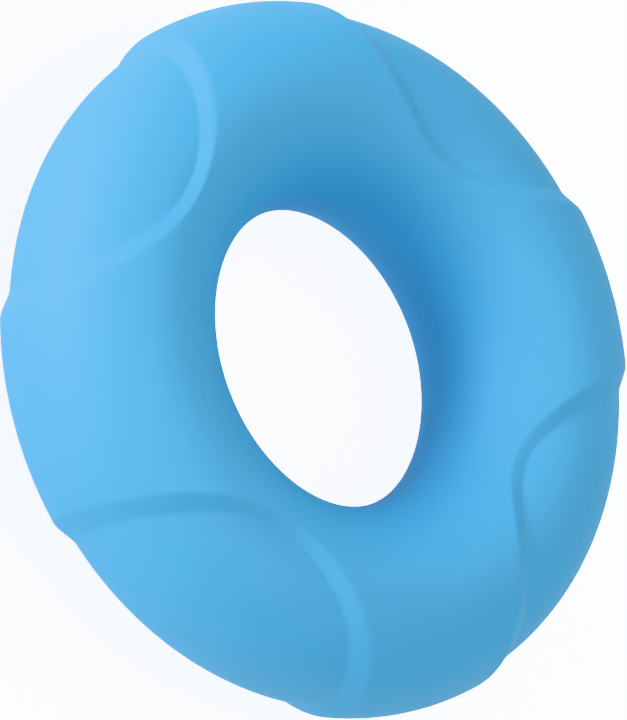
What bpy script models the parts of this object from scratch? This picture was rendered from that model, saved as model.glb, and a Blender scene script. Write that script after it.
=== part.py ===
"""Squeeze ring: a soft moulded hand ring with four shallow finger hollows round its outside.

The ring lies flat: its axis is +Z and its centre is the origin. Its pieces are a skin, a springy core inside it,
and one soft pad in the floor of each finger hollow. Units are metres.
"""

import math

import bmesh
import bpy
from mathutils import Matrix, Vector

# Driving dimensions
OUTER_DIAMETER = 0.0700  # across the ring, from outer edge to outer edge
TUBE_RADIUS = 0.0101  # of the ring's round cross-section
CORE_RADIUS = 0.0060  # of the core's round cross-section
HOLLOW_DEPTH = 0.00083  # of a finger hollow's floor below the round tube
SIDE_BORDER = 0.0031  # width of a hollow's sloping border beside it, along the ring
CROWN_BORDER = 0.0009  # and where it crosses the ring's top and bottom
PAD_REACH = 0.0138  # from a pad's middle to its border, in a straight line
GAP = 0.0003  # between the core and the pieces round it
PAD_GAP = 0.0004  # between a pad and the window that it fills

# Worked out from them
RING_RADIUS = OUTER_DIAMETER / 2 - TUBE_RADIUS
CAVITY_RADIUS = CORE_RADIUS + GAP
WINDOW_REACH = PAD_REACH + PAD_GAP

# Each finger hollow's direction from the ring's centre, in degrees, and the straight distance from its middle to
# the foot of its sloping border
HOLLOWS = {
    "front_right": (-45, 0.0150),
    "back_right": (45, 0.0171),
    "back_left": (135, 0.0165),
    "front_left": (225, 0.0143),
}

# Mesh fineness: steps round the ring and round the tube
SKIN_STEPS = (96, 32)
CORE_STEPS = (48, 16)
PATCH_STEPS = (36, 5)  # directions round a pad or a hollow, and rings from its middle to its border
CUTTER_MARGIN = 0.0010  # how far a cutter stands clear of the wall that it goes through


def clear_scene():
    for found in list(bpy.data.objects):
        bpy.data.objects.remove(found, do_unlink=True)


def rubber(name, colour, roughness):
    """A soft silicone material."""
    material = bpy.data.materials.new(name)
    material.use_nodes = True
    shader = material.node_tree.nodes["Principled BSDF"]
    shader.inputs["Base Color"].default_value = (*colour, 1)
    shader.inputs["Roughness"].default_value = roughness
    shader.inputs["Metallic"].default_value = 0
    return material


def on_tube(turn, climb, radius):
    """The point at an angle round the ring and an angle round its tube, on a tube of that radius."""
    out = RING_RADIUS + radius * math.cos(climb)
    return Vector((out * math.cos(turn), out * math.sin(turn), radius * math.sin(climb)))


def spun_ring(name, radius, steps):
    """A ring turned from a polygon with flat sides at its very top and bottom, which lie at the tube's radius."""
    around, sides = steps
    half_side = math.pi / sides
    mesh = bmesh.new()
    bmesh.ops.create_circle(mesh, segments=sides, radius=radius / math.cos(half_side))
    stand = Matrix.Rotation(math.pi / 2, 3, "X") @ Matrix.Rotation(half_side, 3, "Z")
    bmesh.ops.rotate(mesh, matrix=stand, verts=mesh.verts)
    bmesh.ops.translate(mesh, vec=(RING_RADIUS, 0, 0), verts=mesh.verts)
    bmesh.ops.spin(
        mesh, geom=mesh.edges[:], axis=(0, 0, 1), cent=(0, 0, 0), angle=2 * math.pi, steps=around, use_merge=True
    )
    return finished(name, mesh)


def finished(name, mesh):
    """An object made from a bmesh, with its faces pointing out and shaded smooth."""
    bmesh.ops.recalc_face_normals(mesh, faces=mesh.faces)
    data = bpy.data.meshes.new(name)
    mesh.to_mesh(data)
    mesh.free()
    data.shade_smooth()
    data.set_sharp_from_angle(angle=math.radians(40))
    made = bpy.data.objects.new(name, data)
    bpy.context.scene.collection.objects.link(made)
    return made


def patch_point(reach, heading):
    """(turn, climb) of the tube's surface point at a straight distance from the outer edge's point at turn 0.

    heading is 0 along the ring and a quarter turn over its top.
    """
    climb = 2 * math.asin(reach * math.sin(heading) / (2 * TUBE_RADIUS))
    out = RING_RADIUS + TUBE_RADIUS * math.cos(climb)
    edge = RING_RADIUS + TUBE_RADIUS
    return 2 * math.asin(reach * math.cos(heading) / (2 * math.sqrt(edge * out))), climb


def patch(name, outer_radius, outer_reach, inner_radius, inner_reach, start=0):
    """A closed plate that follows the tube's outside round turn 0, between two tube radii.

    Each reach is how far that face of the plate spreads from its middle, as a function of the heading. start is the
    heading of the first corner, as a share of the angle between two corners.
    """
    mesh = bmesh.new()
    outside = patch_sheet(mesh, outer_radius, outer_reach, start)
    inside = patch_sheet(mesh, inner_radius, inner_reach, start)
    for step, point in enumerate(outside):
        mesh.faces.new((outside[step - 1], inside[step - 1], inside[step], point))
    return finished(name, mesh)


def patch_sheet(mesh, radius, reach, start):
    """One face of a patch, as rings of quads round a fan of triangles. It returns the border's vertices."""
    directions, rings = PATCH_STEPS
    headings = [2 * math.pi * (step + start) / directions for step in range(directions)]
    middle = mesh.verts.new(on_tube(0, 0, radius))
    previous = None
    for ring in range(1, rings + 1):
        share = ring / rings
        current = [mesh.verts.new(on_tube(*patch_point(share * reach(way), way), radius)) for way in headings]
        for step, point in enumerate(current):
            if previous:
                mesh.faces.new((previous[step - 1], previous[step], point, current[step - 1]))
            else:
                mesh.faces.new((middle, point, current[step - 1]))
        previous = current
    return previous


def same_all_round(reach):
    return lambda heading: reach


def border_width(heading):
    """Width of a hollow's sloping border, widest beside the hollow and narrowest over the ring's top."""
    return SIDE_BORDER + (CROWN_BORDER - SIDE_BORDER) * math.sin(heading) ** 2


def hollow_cutter(name, foot):
    """What a finger hollow takes out of the tube: its side is the sloping border, carried on past the lip."""
    carried_on = (HOLLOW_DEPTH + CUTTER_MARGIN) / HOLLOW_DEPTH
    return patch(
        f"hollow_cutter_{name}",
        TUBE_RADIUS + CUTTER_MARGIN,
        lambda heading: foot + border_width(heading) * carried_on,
        TUBE_RADIUS - HOLLOW_DEPTH,
        same_all_round(foot),
        start=0.5,
    )


def window_cutter(name):
    """The hole through the skin that a pad fills."""
    reach = same_all_round(WINDOW_REACH)
    return patch(
        f"window_cutter_{name}", TUBE_RADIUS + CUTTER_MARGIN, reach, CAVITY_RADIUS - CUTTER_MARGIN, reach
    )


def cut(target, cutter):
    """Cuts one object from another with a Boolean, and hides the cutter."""
    modifier = target.modifiers.new(cutter.name, "BOOLEAN")
    modifier.operation = "DIFFERENCE"
    modifier.solver = "EXACT"
    modifier.object = cutter
    cutter.hide_render = True
    cutter.display_type = "WIRE"


def make_skin():
    """The seamless outside, open inside for the core, with a window at the floor of each hollow."""
    skin = spun_ring("ring_skin", TUBE_RADIUS, SKIN_STEPS)
    skin.data.materials.append(rubber("skin_silicone", (0.09, 0.42, 0.79), 0.48))
    cut(skin, spun_ring("cavity_cutter", CAVITY_RADIUS, CORE_STEPS))
    for name, (angle, foot) in HOLLOWS.items():
        for cutter in (hollow_cutter(name, foot), window_cutter(name)):
            cutter.rotation_euler.z = math.radians(angle)
            cut(skin, cutter)


def make_core():
    """The springy filling of the skin."""
    core = spun_ring("core_ring", CORE_RADIUS, CORE_STEPS)
    core.data.materials.append(rubber("core_gel", (0.35, 0.62, 0.85), 0.6))


def make_pads():
    """The soft floor of each finger hollow. Each moves straight in, towards the ring's centre."""
    silicone = rubber("pad_silicone", (0.09, 0.42, 0.79), 0.48)
    reach = same_all_round(PAD_REACH)
    for name, (angle, _) in HOLLOWS.items():
        pad = patch(f"finger_pad_{name}", TUBE_RADIUS - HOLLOW_DEPTH, reach, CAVITY_RADIUS, reach)
        pad.data.materials.append(silicone)
        pad.rotation_euler.z = math.radians(angle)


clear_scene()
make_skin()
make_core()
make_pads()
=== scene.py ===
"""Looks of the squeeze ring: fine moulded surfaces, satin silicone, a plain floor, soft light and a camera.

The ring lies flat round the frame's +Z axis, and each finger hollow's middle is on its outer edge. Units are
metres.
"""

import math
from functools import partial

import bpy
import numpy as np
from mathutils import Matrix, Vector


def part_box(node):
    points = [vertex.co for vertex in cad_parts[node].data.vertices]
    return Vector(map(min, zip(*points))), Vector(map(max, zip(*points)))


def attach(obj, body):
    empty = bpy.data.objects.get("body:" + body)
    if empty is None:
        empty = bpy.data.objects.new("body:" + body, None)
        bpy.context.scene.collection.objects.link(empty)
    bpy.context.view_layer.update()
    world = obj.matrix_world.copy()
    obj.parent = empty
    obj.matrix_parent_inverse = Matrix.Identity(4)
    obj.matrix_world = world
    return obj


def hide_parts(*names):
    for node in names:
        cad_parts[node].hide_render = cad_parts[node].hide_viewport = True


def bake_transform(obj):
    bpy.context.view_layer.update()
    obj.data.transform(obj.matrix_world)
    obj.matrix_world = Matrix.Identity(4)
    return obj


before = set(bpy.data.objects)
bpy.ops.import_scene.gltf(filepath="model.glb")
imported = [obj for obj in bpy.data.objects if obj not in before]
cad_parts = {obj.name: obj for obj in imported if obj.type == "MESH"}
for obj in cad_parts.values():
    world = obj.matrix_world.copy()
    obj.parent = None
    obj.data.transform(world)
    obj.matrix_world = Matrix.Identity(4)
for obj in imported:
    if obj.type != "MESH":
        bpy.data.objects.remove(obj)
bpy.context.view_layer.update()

# The ring's own sizes, from the frame
SKIN_LOW, SKIN_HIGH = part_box("ring_skin")
CORE_LOW, CORE_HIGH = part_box("core_ring")
TUBE_RADIUS = SKIN_HIGH.z
RING_RADIUS = SKIN_HIGH.x - TUBE_RADIUS
CORE_RADIUS = CORE_HIGH.z
CORE_GAP = 0.0003  # between the core and the skin's lining
CAVITY_RADIUS = CORE_RADIUS + CORE_GAP
OUTER_EDGE = RING_RADIUS + TUBE_RADIUS

# The finger hollows, as the part is designed
HOLLOW_DEPTH = 0.00083
SIDE_BORDER = 0.0031  # width of a hollow's sloping border beside it, along the ring
CROWN_BORDER = 0.0009  # and where it crosses the ring's top and bottom
BORDER_ROUNDING = 0.25  # share of the border's width that is rounded, at its foot and again at its lip
WINDOW_REACH = 0.0142  # straight distance from a hollow's middle to its pad's border

# Each finger hollow's direction from the ring's centre, in degrees, and the straight distance from its middle
# to the foot of its sloping border
HOLLOWS = {
    "front_right": (-45, 0.0150),
    "back_right": (45, 0.0171),
    "back_left": (135, 0.0165),
    "front_left": (225, 0.0143),
}

# Mesh fineness
SIDE_STEPS = 64  # along a quarter's cut through the tube
INNER_STEPS = 32  # along a quarter's inner edge
FLOOR_RINGS = 4  # of a hollow's floor, outside its pad
BORDER_RINGS = 12
LAND_RINGS = 20
PAD_RINGS = 18
LINING_RINGS = 6
WALL_RINGS = 3
CORE_STEPS = (144, 40)


# ---------------------------------------------------------------- shape


def slope(share):
    """Height of a border at shares of the way up it: straight, with a rounded foot and lip."""
    share = np.clip(share, 0, 1)
    near = np.minimum(share, 1 - share)
    rounded = near**2 / (2 * BORDER_ROUNDING)
    straight = near - BORDER_ROUNDING / 2
    height = np.where(near < BORDER_ROUNDING, rounded, straight) / (1 - BORDER_ROUNDING)
    return np.where(share < 0.5, height, 1 - height)


def on_tube(turn, climb, radius):
    """Points at angles round the ring and round its tube, on a tube of that radius."""
    out = RING_RADIUS + radius * np.cos(climb)
    return np.stack([out * np.cos(turn), out * np.sin(turn), radius * np.sin(climb)], axis=-1)


def border_width(over):
    """Width of a hollow's border, from the heading's squared sine: 0 beside the hollow, 1 at its crown."""
    return SIDE_BORDER + (CROWN_BORDER - SIDE_BORDER) * over


def outside(foot, turn, climb):
    """The moulded outside round a hollow whose floor ends at that foot, with turn counted from its middle."""
    reach = np.linalg.norm(on_tube(turn, climb, TUBE_RADIUS) - [OUTER_EDGE, 0, 0], axis=-1)
    over = (2 * TUBE_RADIUS * np.sin(climb / 2) / np.maximum(reach, WINDOW_REACH)) ** 2
    depth = HOLLOW_DEPTH * (1 - slope((reach - foot) / border_width(over)))
    return on_tube(turn, climb, TUBE_RADIUS - depth)


def normals_of(surface, turn, climb):
    """Unit normals of a surface that is a function of two angles."""
    small = 1e-4
    along = surface(turn + small, climb) - surface(turn - small, climb)
    across = surface(turn, climb + small) - surface(turn, climb - small)
    normal = np.cross(along, across)
    return normal / np.linalg.norm(normal, axis=-1, keepdims=True)


def loop(reach, heading):
    """(turn, climb) at straight distances from a hollow's middle, in directions seen from there."""
    climb = 2 * np.arcsin(reach * np.sin(heading) / (2 * TUBE_RADIUS))
    out = RING_RADIUS + TUBE_RADIUS * np.cos(climb)
    return 2 * np.arcsin(reach * np.cos(heading) / (2 * np.sqrt(OUTER_EDGE * out))), climb


def quarter_edge():
    """(turn, climb) round the edge of the quarter of the tube that belongs to one hollow."""
    half_turn, half_climb = math.pi / 4, math.pi
    side = np.linspace(-1, 1, SIDE_STEPS + 1)[:-1]
    inner = np.linspace(-1, 1, INNER_STEPS + 1)[:-1]
    turn = np.concatenate([np.ones(SIDE_STEPS), -inner, -np.ones(SIDE_STEPS), inner]) * half_turn
    climb = np.concatenate([side, np.ones(INNER_STEPS), -side, -np.ones(INNER_STEPS)]) * half_climb
    return turn, climb


def headings():
    """The direction from the hollow's middle to each point of the quarter's edge."""
    turn, climb = quarter_edge()
    return np.arctan2(climb / math.pi, turn / (math.pi / 4))


# ---------------------------------------------------------------- meshes


class Shell:
    """Collects rows of points into quads, each corner with its own normal."""

    def __init__(self):
        self.points, self.faces, self.normals = [], [], []
        self.count = 0

    def add_rows(self, points, normals, flip=False):
        """Rows of points that run round in closed loops. Without normals, the faces are shaded flat."""
        rows, columns = points.shape[:2]
        index = np.arange(rows * columns).reshape(rows, columns) + self.count
        after = np.roll(index, -1, axis=1)
        quads = np.stack([index[:-1], index[1:], after[1:], after[:-1]], axis=-1).reshape(-1, 4)
        if flip:
            quads = quads[:, ::-1]
        flat = points.reshape(-1, 3)
        if normals is None:
            corners = flat[quads - self.count]
            face = np.cross(corners[:, 2] - corners[:, 0], corners[:, 3] - corners[:, 1])
            face /= np.maximum(np.linalg.norm(face, axis=1, keepdims=True), 1e-12)
            at_corners = np.repeat(face[:, None], 4, axis=1)
        else:
            at_corners = normals.reshape(-1, 3)[quads - self.count]
        self.points.append(flat)
        self.faces.append(quads)
        self.normals.append(at_corners)
        self.count += len(flat)

    def make(self, name):
        """A mesh object, with points that coincide made one."""
        points = np.concatenate(self.points)
        faces = np.concatenate(self.faces)
        normals = np.concatenate(self.normals)
        _, first, index = np.unique(np.round(points, 8), axis=0, return_index=True, return_inverse=True)
        faces = index.reshape(-1)[faces]
        polygons, corner_normals = [], []
        for face, normal in zip(faces.tolist(), normals):
            kept = [k for k in range(4) if face[k] != face[k - 1]]
            polygons.append([face[k] for k in kept])
            corner_normals.extend(normal[k] for k in kept)
        mesh = bpy.data.meshes.new(name)
        mesh.from_pydata(points[first].tolist(), [], polygons)
        mesh.shade_smooth()
        mesh.normals_split_custom_set(np.array(corner_normals).tolist())
        made = bpy.data.objects.new(name, mesh)
        bpy.context.scene.collection.objects.link(made)
        return made


def turned(points, angle):
    """Points or normals turned round the ring's axis."""
    c, s = math.cos(angle), math.sin(angle)
    return points @ np.array([[c, s, 0], [-s, c, 0], [0, 0, 1]])


def lining(turn, climb):
    return on_tube(turn, climb, CAVITY_RADIUS)


def between(start, end, shares):
    """(turn, climb) at shares of the way between two loops of angle pairs."""
    return tuple(a + (b - a) * shares[:, None] for a, b in zip(start, end))


def add_surface(shell, surface, angle, loops, out=1):
    """A surface over loops of angle pairs. It faces out of the tube, or into it if out is -1."""
    normals = normals_of(surface, *loops) * out
    shell.add_rows(turned(surface(*loops), angle), turned(normals, angle), flip=out < 0)


def add_wall(shell, surface, edge, angle, flip):
    """The narrow side wall between the outside and the lining along a pad's border."""
    shares = np.linspace(0, 1, WALL_RINGS + 1)[:, None, None]
    wall = surface(*edge) * (1 - shares) + lining(*edge) * shares
    shell.add_rows(turned(wall, angle), None, flip)


def make_skin():
    """The seamless outside of the ring, lined for the core, with a window at each hollow's floor."""
    shell = Shell()
    ways, far = headings(), quarter_edge()
    window = loop(WINDOW_REACH, ways)
    plain = between(window, far, np.linspace(0, 1, LINING_RINGS + 1))
    for degrees, foot_reach in HOLLOWS.values():
        angle = math.radians(degrees)
        surface = partial(outside, foot_reach)
        foot = loop(foot_reach, ways)
        lip = loop(foot_reach + border_width(np.sin(ways) ** 2), ways)
        add_surface(shell, surface, angle, between(window, foot, np.linspace(0, 1, FLOOR_RINGS + 1)))
        add_surface(shell, surface, angle, between(foot, lip, np.linspace(0, 1, BORDER_RINGS + 1)))
        add_surface(shell, surface, angle, between(lip, far, np.linspace(0, 1, LAND_RINGS + 1)))
        add_surface(shell, lining, angle, plain, out=-1)
        add_wall(shell, surface, window, angle, flip=True)
    return shell.make("moulded_ring_skin")


def make_pad(name, degrees, foot_reach):
    """The soft floor of one finger hollow, which meets the skin edge to edge."""
    shell = Shell()
    angle = math.radians(degrees)
    surface = partial(outside, foot_reach)
    edge = loop(WINDOW_REACH, headings())
    middle = tuple(np.zeros_like(a) for a in edge)
    add_surface(shell, surface, angle, between(middle, edge, np.linspace(0, 1, PAD_RINGS + 1)))
    add_surface(shell, lining, angle, between(middle, edge, np.linspace(0, 1, LINING_RINGS + 1)), out=-1)
    add_wall(shell, surface, edge, angle, flip=False)
    return shell.make(f"moulded_pad_{name}")


def make_core():
    """The springy filling, a plain round ring inside the skin."""
    around, sides = CORE_STEPS
    turn = np.linspace(0, 2 * math.pi, around, endpoint=False)[None]
    climb = np.linspace(0, 2 * math.pi, sides + 1)[:, None]
    turn, climb = np.broadcast_arrays(turn, climb)
    shell = Shell()

    def filling(turn, climb):
        return on_tube(turn, climb, CORE_RADIUS)

    shell.add_rows(filling(turn, climb), normals_of(filling, turn, climb), flip=True)
    return shell.make("soft_core")


# ---------------------------------------------------------------- materials

GLOSS = 0.9
CLOUDS = 70  # noise scales, per metre
SHEEN_PATCHES = 240
GRAIN = 2600
SHEEN_SPREAD = 0.05  # how far the roughness strays from its mean
GRAIN_STRENGTH = 0.12
GRAIN_HEIGHT = 0.00006
PIT_CELLS = 320  # cells per metre, with one pit or none showing from each
PIT_RADIUS = 0.05  # of a cell
PIT_STRENGTH = 0.3
PIT_DEPTH = 0.00005


def new_material(name):
    material = bpy.data.materials.new(name)
    material.use_nodes = True
    nodes = material.node_tree.nodes
    nodes.clear()
    output = nodes.new("ShaderNodeOutputMaterial")
    shader = nodes.new("ShaderNodeBsdfPrincipled")
    material.node_tree.links.new(shader.outputs["BSDF"], output.inputs["Surface"])
    return material, shader


def silicone(name, light, dark, roughness):
    """Satin moulded silicone: a faintly cloudy colour, uneven sheen, very fine grain and a few tiny pits."""
    material, shader = new_material(name)
    nodes, links = material.node_tree.nodes, material.node_tree.links
    place = nodes.new("ShaderNodeTexCoord")

    def noise(scale, detail):
        made = nodes.new("ShaderNodeTexNoise")
        made.inputs["Scale"].default_value = scale
        made.inputs["Detail"].default_value = detail
        links.new(place.outputs["Object"], made.inputs["Vector"])
        return made.outputs["Fac"]

    colour = nodes.new("ShaderNodeMix")
    colour.data_type = "RGBA"
    colour.inputs["A"].default_value = (*dark, 1)
    colour.inputs["B"].default_value = (*light, 1)
    links.new(noise(CLOUDS, 3), colour.inputs["Factor"])
    links.new(colour.outputs["Result"], shader.inputs["Base Color"])

    shader.inputs["Specular IOR Level"].default_value = GLOSS
    sheen = nodes.new("ShaderNodeMapRange")
    sheen.inputs["To Min"].default_value = roughness - SHEEN_SPREAD
    sheen.inputs["To Max"].default_value = roughness + SHEEN_SPREAD
    links.new(noise(SHEEN_PATCHES, 4), sheen.inputs["Value"])
    links.new(sheen.outputs["Result"], shader.inputs["Roughness"])

    grain = nodes.new("ShaderNodeBump")
    grain.inputs["Strength"].default_value = GRAIN_STRENGTH
    grain.inputs["Distance"].default_value = GRAIN_HEIGHT
    links.new(noise(GRAIN, 2), grain.inputs["Height"])

    cells = nodes.new("ShaderNodeTexVoronoi")
    cells.inputs["Scale"].default_value = PIT_CELLS
    links.new(place.outputs["Object"], cells.inputs["Vector"])
    pit = nodes.new("ShaderNodeMapRange")
    pit.inputs["From Max"].default_value = PIT_RADIUS
    links.new(cells.outputs["Distance"], pit.inputs["Value"])
    pits = nodes.new("ShaderNodeBump")
    pits.inputs["Strength"].default_value = PIT_STRENGTH
    pits.inputs["Distance"].default_value = PIT_DEPTH
    links.new(pit.outputs["Result"], pits.inputs["Height"])
    links.new(pits.outputs["Normal"], grain.inputs["Normal"])
    links.new(grain.outputs["Normal"], shader.inputs["Normal"])
    return material


def paint(piece, material):
    piece.data.materials.clear()
    piece.data.materials.append(material)


# ---------------------------------------------------------------- studio

CAMERA_DISTANCE = 0.6756
CAMERA_ELEVATION = 50.27
CAMERA_TURN = -83.05  # its direction from the ring's axis, counted from +X
CAMERA_ROLL = 20.65  # how far the ring's axis, as the camera sees it, points above its right
CAMERA_LENS = 352.9
CAMERA_RIGHT = -0.00067  # how far the camera stands off the ring's centre, to its own right
CAMERA_UP = -0.00025


def direction(azimuth, elevation):
    """The unit vector at angles in degrees from +X and from the floor."""
    turn, climb = math.radians(azimuth), math.radians(elevation)
    return Vector((math.cos(climb) * math.cos(turn), math.cos(climb) * math.sin(turn), math.sin(climb)))


def place_camera():
    roll = math.radians(CAMERA_ROLL)
    back = direction(CAMERA_TURN, CAMERA_ELEVATION)
    axis_seen = (Vector((0, 0, 1)) - back * back.z).normalized()
    beside = back.cross(axis_seen)
    right = axis_seen * math.cos(roll) - beside * math.sin(roll)
    up = axis_seen * math.sin(roll) + beside * math.cos(roll)
    data = bpy.data.cameras.new("camera")
    data.lens = CAMERA_LENS
    data.sensor_width = 36
    data.dof.use_dof = False
    data.clip_start = 0.01
    data.clip_end = 20
    camera = bpy.data.objects.new("camera", data)
    bpy.context.scene.collection.objects.link(camera)
    at = back * CAMERA_DISTANCE + right * CAMERA_RIGHT + up * CAMERA_UP
    camera.matrix_world = Matrix.Translation(at) @ Matrix((right, up, back)).transposed().to_4x4()
    bpy.context.scene.camera = camera


FLOOR_GLOW = 0.3  # light that the floor gives back to the ring
FLOOR_WHITE = 3.2  # and how bright it reads, as a white backdrop
SKY_GLOW = 0.25  # the same for what is all round the floor
SKY_WHITE = 4.2
FLOOR_HALF = 3.0  # from the floor's middle to its sides
LIGHT_DISTANCE = 0.8
LIGHT_SIZE = 0.3


def light_up(tree, strength, given, seen):
    """Sets how strongly a surface lights the scene, and how strongly it shows as a backdrop."""
    ray = tree.nodes.new("ShaderNodeLightPath")
    level = tree.nodes.new("ShaderNodeMapRange")
    level.inputs["To Min"].default_value = given
    level.inputs["To Max"].default_value = seen
    tree.links.new(ray.outputs["Is Camera Ray"], level.inputs["Value"])
    tree.links.new(level.outputs["Result"], strength)


def make_floor():
    mesh = bpy.data.meshes.new("floor")
    corners = [(-1, -1), (1, -1), (1, 1), (-1, 1)]
    mesh.from_pydata([(x * FLOOR_HALF, y * FLOOR_HALF, -TUBE_RADIUS) for x, y in corners], [], [(0, 1, 2, 3)])
    floor = bpy.data.objects.new("floor", mesh)
    bpy.context.scene.collection.objects.link(floor)
    material, shader = new_material("pale_floor")
    shader.inputs["Base Color"].default_value = (0.86, 0.86, 0.86, 1)
    shader.inputs["Roughness"].default_value = 0.9
    shader.inputs["Emission Color"].default_value = (1, 1, 1, 1)
    light_up(material.node_tree, shader.inputs["Emission Strength"], FLOOR_GLOW, FLOOR_WHITE)
    paint(floor, material)


def soft_light(name, azimuth, elevation, power):
    """A round soft light that faces the ring, placed by angles in degrees from +X and from the floor."""
    data = bpy.data.lights.new(name, "AREA")
    data.shape = "DISK"
    data.size = LIGHT_SIZE
    data.energy = power
    light = bpy.data.objects.new(name, data)
    bpy.context.scene.collection.objects.link(light)
    towards = direction(azimuth, elevation)
    light.location = towards * LIGHT_DISTANCE
    light.rotation_euler = towards.to_track_quat("Z", "Y").to_euler()


def light_studio():
    """Even light from all round, strongest from low on the ring's front left."""
    world = bpy.data.worlds.new("studio")
    world.use_nodes = True
    background = world.node_tree.nodes["Background"]
    background.inputs["Color"].default_value = (1, 1, 1, 1)
    light_up(world.node_tree, background.inputs["Strength"], SKY_GLOW, SKY_WHITE)
    bpy.context.scene.world = world
    for name, azimuth, elevation, power in (
        ("low_front", 240, 8, 3.5),
        ("low_left", 210, 8, 2.7),
        ("overhead", 240, 80, 2.35),
        ("back", 90, 30, 0.9),
        ("right", 0, 55, 1.2),
        ("front", 300, 8, 0.6),
    ):
        soft_light(name, azimuth, elevation, power)
    bpy.context.scene.view_settings.view_transform = "Khronos PBR Neutral"


# ---------------------------------------------------------------- assembly


def assemble():
    skin_look = silicone("satin_silicone", (0.081, 0.438, 0.772), (0.077, 0.422, 0.748), 0.70)
    core_look = silicone("soft_core_gel", (0.38, 0.66, 0.88), (0.32, 0.58, 0.82), 0.6)

    skin = make_skin()
    paint(skin, skin_look)
    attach(skin, "ring")
    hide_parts("ring_skin")

    core = make_core()
    paint(core, core_look)
    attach(core, "ring")
    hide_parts("core_ring")

    for name, (degrees, foot_reach) in HOLLOWS.items():
        pad = make_pad(name, degrees, foot_reach)
        paint(pad, skin_look)
        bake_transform(pad)
        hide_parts(f"finger_pad_{name}")


assemble()
place_camera()
make_floor()
light_studio()
